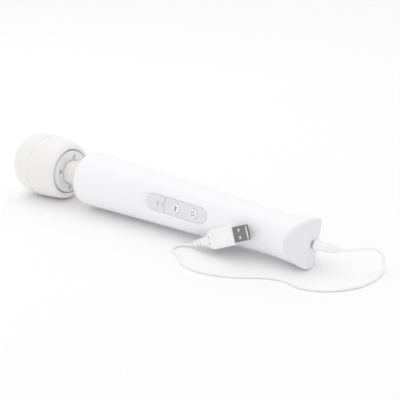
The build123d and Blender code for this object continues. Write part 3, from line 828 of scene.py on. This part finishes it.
def build_controls():
    buttons = {}
    for name in ("mode", "power"):
        low, high = wand_box(f"{name}_button")
        buttons[name] = ((low.x + high.x) / 2, (high.x - low.x) / 2, high.z)
    holes = [((x, 0.0), radius + 0.15) for x, radius, _ in buttons.values()]
    net = slab(KEY_SPLIT_X + 0.2, PANEL_REAR_X - PANEL_HALF, holes, PANEL_FLOOR)
    add_piece("panel_plate", net, "panel_silver", "handle", WAND, ("control_panel",), sharp=40)
    net = slab(KEY_SPLIT_X - 0.2, PANEL_FRONT_X + PANEL_HALF, [], KEY_BASE)
    add_stem(net, SPEED_STEM_X, KEY_BASE + 0.4)
    add_piece("speed_key_cap", net, "panel_silver", "speed_press", WAND, ("speed_key",), sharp=40)

    for name, (x, radius, top) in buttons.items():
        def dome(px, py, x=x, top=top):
            return top - (BUTTON_DOME - sqrt(BUTTON_DOME**2 - (px - x) ** 2 - py**2))
        edge = 0.5
        profile = [(radius * s, dome(x + radius * s, 0)) for s in (0.12, 0.3, 0.5, 0.68, 0.8)]
        rim = dome(x + radius - edge, 0)
        profile += [(radius - edge + edge * sin(t), rim - 0.02 - edge * (1 - cos(t))) for t in
                    [radians(90 * i / 6) for i in range(7)]]
        profile += [(radius, KEY_BASE + 0.1), (radius - 0.1, KEY_BASE)]
        net = Net()
        made = net.tube([[(x + a, b, z) for a, b in circle(56, r)] for r, z in profile], ends=None)
        net.fan(made[0], (x, 0, top))
        net.fan(made[-1], (x, 0, KEY_BASE))
        add_stem(net, x, KEY_BASE + 0.4)
        add_piece(f"{name}_button_cap", net, "key_white", f"{name}_press", WAND, (f"{name}_button",), sharp=45)
        mark = Net()
        if name == "mode":
            zigzag = [(x - 0.9, 2.1), (x + 1.0, 1.25), (x - 0.9, 0.45), (x + 1.0, -0.45), (x - 0.9, -1.25),
                      (x + 0.9, -2.1)]
            stroke(mark, between(zigzag), 0.55, dome)
        else:
            arc = [(x + 1.75 * cos(radians(a)), 1.75 * sin(radians(a))) for a in range(215, 506, 10)]
            stroke(mark, arc, 0.5, dome)
            stroke(mark, between([(x - 0.2, 0.0), (x - 1.9, 0.0)]), 0.5, dome)
        add_piece(f"{name}_mark", mark, None, f"{name}_press", WAND, sharp=60, material=PRINT_GREY)

    mark = Net()
    stroke(mark, between([(-142.9, 0.0), (-139.6, 0.0)]), 0.5, panel_z)
    stroke(mark, between([(-141.2, 2.3), (-141.2, -2.3)]), 0.5, panel_z)
    add_piece("plus_mark", mark, None, "speed_press", WAND, sharp=60, material=PRINT_PALE)
    mark = Net()
    stroke(mark, between([(-136.2, 2.3), (-136.2, -2.3)]), 0.5, panel_z)
    add_piece("minus_mark", mark, None, "speed_press", WAND, sharp=60, material=PRINT_PALE)


# ---- charging lead ----------------------------------------------------------------------------
def barrel_frame(share):
    """Where the barrel plug's grip is, from its root on the wand's axis to the cord's start."""
    start, end = WAND @ Vector((BARREL_ROOT_X, 0, 0)) / MM, Vector(CORD_ROUTE[0])
    control = (start + end) / 2
    control = Vector((control.x, start.y, control.z))
    point = start * (1 - share) ** 2 + control * (2 * share * (1 - share)) + end * share**2
    tangent = (control - start) * (1 - share) + (end - control) * share
    return basis(point * MM, tangent, (0, 0, 1))


def bent_tube(profile, segments=48):
    """A net in metres: (share, radius) rings along the barrel plug's bend."""
    net = Net()
    net.tube([[barrel_frame(share) @ Vector((0, a, b)) for a, b in circle(segments, radius)]
              for share, radius in profile])
    net.points = [p / MM for p in net.points]
    return net


def build_barrel_plug():
    metres = Matrix.Scale(MM, 4)
    grip = [(0.0, 3.3), (0.012, 3.75), (0.035, 3.94), (0.1, 4.0), (0.27, 3.94), (0.42, 3.8), (0.52, 3.66),
            (0.53, 3.5), (0.536, 3.1)]
    grip_piece = add_piece("barrel_plug_grip", bent_tube(grip), "plug_white", "handle", metres,
                           ("barrel_grip",), sharp=50)
    rings, ribs, start = [(0.524, 2.7)], 4, 0.54
    pitch = (0.985 - start) / ribs
    for rib in range(ribs):
        first = start + pitch * rib
        for share, proud in ((0.0, 0.0), (0.08, 0.35), (0.2, 0.52), (0.55, 0.56), (0.7, 0.4), (0.78, 0.0),
                             (0.98, 0.0)):
            place = first + pitch * share
            base = 3.1 - 1.5 * ((place - start) / (1 - start)) ** 2
            rings.append((place, base + proud))
    rings += [(0.985, 1.75), (0.995, 1.45), (1.0, 1.2)]
    relief = add_piece("barrel_plug_ribs", bent_tube(rings), "plug_white", "handle", metres,
                       ("barrel_relief",), sharp=50)
    return [grip_piece, relief]


def rounded_box_ring(width, height, radius, splits=()):
    """A rounded rectangle's outline as (y, z), with extra points at the given |y|."""
    radius = min(radius, width / 2 - 0.01, height / 2 - 0.01)
    points = []
    half_y, half_z = width / 2, height / 2
    stops = sorted(s for s in splits)
    top = [-s for s in reversed(stops)] + stops
    points += [(y, half_z) for y in reversed(top)]
    def corner(cy, cz, first):
        return [(cy + radius * cos(radians(first + 90 * i / 6)), cz + radius * sin(radians(first + 90 * i / 6)))
                for i in range(7)]
    points += corner(-half_y + radius, half_z - radius, 90)
    points += corner(-half_y + radius, -half_z + radius, 180)
    points += [(y, -half_z) for y in top]
    points += corner(half_y - radius, -half_z + radius, 270)
    points += corner(half_y - radius, half_z - radius, 0)
    return points


def build_usb_shell():
    length, width, height, wall = USB_LENGTH, USB_SHELL_WIDTH, USB_SHELL_HEIGHT, USB_SHELL_WALL
    splits = (1.75, 2.1, 3.7, 4.05)
    stations = [0.0, 1.5, 3.0, 4.6, 4.95, 6.65, 7.0, 9.0, 11.4, 12.0, length]
    outer, inner = Net(), Net()
    made = []
    for x in stations:
        flare = 0.0 if x < length else -0.12
        made.append(outer.ring([(x, y, z) for y, z in rounded_box_ring(width + flare, height + flare, 0.65, splits)]))
        inner.ring([(x, y, z) for y, z in rounded_box_ring(width - 2 * wall, height - 2 * wall, 0.4, splits)])
    for i, (a, b) in enumerate(zip(made, made[1:])):
        for j in range(len(a)):
            k = (j + 1) % len(a)
            ys = sorted(abs(outer.points[a[n]].y) for n in (j, k))
            flat = abs(outer.points[a[j]].z - outer.points[a[k]].z) < 1e-6
            same_side = outer.points[a[j]].y * outer.points[a[k]].y > 0
            if 3 <= i <= 5 and flat and same_side and ys[0] >= 1.74 and ys[1] <= 4.06:
                continue
            outer.faces.append((a[j], a[k], b[k], b[j]))
    net = thicken(outer, inner)
    return add_piece("usb_plug_shell", net, "usb_steel", "handle", USB, ("usb_shell",), sharp=35)


def build_usb_seam():
    """The shell's folded seam: a fine dovetailed line between the windows."""
    line = [(0.3, -0.5), (1.6, -0.45), (3.0, 0.45), (4.2, 0.75), (5.6, 0.75), (6.8, -0.35), (7.9, -0.65), (9.0, -0.3),
            (10.0, 0.5), (11.9, 0.6)]
    net = Net()
    stroke(net, smooth_line(line, 4), 0.3, lambda x, y: 2.2)
    return add_piece("usb_plug_seam", net, None, "handle", USB, sharp=60, material=SEAM_STEEL)


def build_usb_insulator():
    net = Net()
    outline = [(x, w, h) for x, w, h in ((0.3, 11.0, 1.6), (0.5, 11.2, 1.8), (11.1, 11.2, 1.8), (11.3, 11.0, 1.6))]
    net.tube([[(x, y, z - 1.0) for y, z in rounded_box_ring(w, h, 0.3)] for x, w, h in outline])
    for side in (-1, 1):
        net.tube([[(5.8 + a, side * 2.9 + b, z) for a, b in rounded_box_ring(w, h, 0.7)] for z, w, h in
                  ((-0.2, 2.9, 2.9), (1.6, 2.9, 2.9), (1.8, 2.6, 2.6))])
    return add_piece("usb_plug_insulator", net, "plug_white", "handle", USB, ("usb_tongue",), sharp=35)


def build_usb_overmould():
    pad_y, pad_edge, pad_x0, pad_x1, sink = 5.4, 0.3, -20.5, -2.5, 0.35
    splits = (1.8, 3.6, pad_y - pad_edge, pad_y)

    def size(x):
        if x > -22.0:
            return 15.8, 7.4
        share = min(1.0, (-22.0 - x) / 12.0)
        ease = share * share * (3 - 2 * share)
        return 15.8 - 6.8 * (0.55 * share + 0.45 * ease), 7.4 - 1.4 * share

    stations = [0.0, -0.15, -0.5, -1.5, pad_x1, pad_x1 - pad_edge, -5.0, -8.0, -11.0, -14.0, -17.0,
                pad_x0 + pad_edge, pad_x0, -21.5] + [-22.0 - 12.0 * i / 14 for i in range(15)] + [-34.3, -34.5]
    rings = []
    for x in stations:
        width, height = size(max(x, -34.0))
        shrink = {0.0: 0.9, -0.15: 0.45, -34.3: 0.5, -34.5: 1.2}.get(x, 0.0)
        ring = []
        for y, z in rounded_box_ring(width - shrink, height - shrink, 1.8, splits):
            in_pad = abs(y) <= pad_y - pad_edge + 0.01 and pad_x0 + pad_edge - 0.01 <= x <= pad_x1 - pad_edge + 0.01
            ring.append((x, y, z - sink if z > 2 and in_pad and abs(z - (height - shrink) / 2) < 0.01 else z))
        rings.append(ring)
    net = Net()
    net.tube(rings)
    mould = add_piece("usb_plug_grip", net, "plug_white", "handle", USB, ("usb_overmould",), sharp=38)
    net = Net()
    for y in (-2.5, 2.5):
        top = size(-25.8)[1] / 2
        net.tube([[(-25.8 + a, y + b, z) for a, b in circle(20, r)] for r, z in
                  ((0.62, top - 0.6), (0.62, top + 0.02), (0.5, top + 0.06), (0.25, top + 0.07))])
    pins = add_piece("usb_plug_pins", net, None, "handle", USB, sharp=50, material=PRINT_GREY)
    return [mould, pins]


def build_usb_relief():
    """Slotted strain relief: a spine with fins, tapering to the cord."""
    ends = (-33.6, -45.3)
    slots = ((-36.3, -37.7), (-39.8, -41.2))
    marks = [ends[0], -35.0, -36.2]
    for first, last in slots:
        marks += [first, first - 0.001, (first + last) / 2, last + 0.001, last]
    marks += [-43.0, -44.9, -45.2, ends[1]]
    rings = []
    for x in sorted(set(marks), reverse=True):
        share = (x - ends[0]) / (ends[1] - ends[0])
        width, height = 7.6 - 3.0 * share, 5.4 - 1.2 * share
        cut = any(last < x < first for first, last in slots)
        shrink = 0.5 if x == -45.2 else 1.3 if x == ends[1] else 0.0
        ring = rounded_box_ring(width - shrink, height - shrink, 1.5)
        if cut:
            ring = [(y * 2.2 / width, z * (0.86 if abs(y) > 0.3 else 1.0)) for y, z in ring]
        rings.append([(x, y, z) for y, z in ring])
    net = Net()
    net.tube(rings)
    return add_piece("usb_plug_relief", net, "plug_white", "handle", USB, ("usb_relief",), sharp=38)


def build_cord():
    data = bpy.data.curves.new("lead_cord", "CURVE")
    data.dimensions = "3D"
    data.bevel_depth = CORD_DIAMETER / 2 * MM
    data.bevel_resolution = 6
    data.use_fill_caps = True
    spline = data.splines.new("NURBS")
    spline.points.add(len(CORD_ROUTE) - 1)
    for point, place in zip(spline.points, CORD_ROUTE):
        point.co = (*(c * MM for c in place), 1.0)
    spline.order_u = 3
    spline.use_endpoint_u = True
    spline.resolution_u = 12
    cord = bpy.data.objects.new("lead_cord", data)
    bpy.context.collection.objects.link(cord)
    data.materials.append(MATERIALS["cord_white"])
    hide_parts("charging_cord")
    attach(cord, "handle")


# ---- studio -----------------------------------------------------------------------------------
def add_studio():
    world = bpy.data.worlds.new("studio")
    bpy.context.scene.world = world
    world.use_nodes = True
    sky = world.node_tree.nodes["Background"]
    sky.inputs["Color"].default_value = (1.0, 1.0, 1.0, 1.0)
    sky.inputs["Strength"].default_value = 0.92

    mesh = bpy.data.meshes.new("floor")
    half = 6.0
    mesh.from_pydata([(-half, -half, 0), (half, -half, 0), (half, half, 0), (-half, half, 0)], [], [(0, 1, 2, 3)])
    floor = bpy.data.objects.new("floor", mesh)
    bpy.context.collection.objects.link(floor)
    mesh.materials.append(finish("floor_white", (0.97, 0.97, 0.97), 0.7, tint=0.004, tint_size=400, grain=8, depth=0.0,
                                 specular=0.1))

    def area(name, place, target, size, power, color=(1, 1, 1)):
        data = bpy.data.lights.new(name, "AREA")
        data.shape, data.size, data.energy, data.color = "DISK", size, power, color
        lamp = bpy.data.objects.new(name, data)
        bpy.context.collection.objects.link(lamp)
        lamp.location = place
        lamp.rotation_euler = (Vector(target) - Vector(place)).to_track_quat("-Z", "Y").to_euler()

    area("top_softbox", (-0.5, 0.1, 1.5), (0, 0, 0), 1.4, 3.5)
    bpy.context.scene.view_settings.view_transform = "Standard"


def dress_cad_nodes():
    slots = {part["node"]: part["material_slot"] for part in record["subparts"]}
    for name, node in frame["nodes"].items():
        node.data.materials.clear()
        node.data.materials.append(MATERIALS[slots[name]])


add_camera()
dress_cad_nodes()
on_the_lead = build_barrel_plug()
on_the_lead += [build_usb_shell(), build_usb_seam(), build_usb_insulator(), *build_usb_overmould(), build_usb_relief(),
                frame["nodes"]["usb_contacts"], frame["nodes"]["barrel_sleeve"]]
build_cord()
build_case()
build_tail()
build_front_cap()
build_cushion()
build_collar()
build_neck()
build_controls()
add_studio()
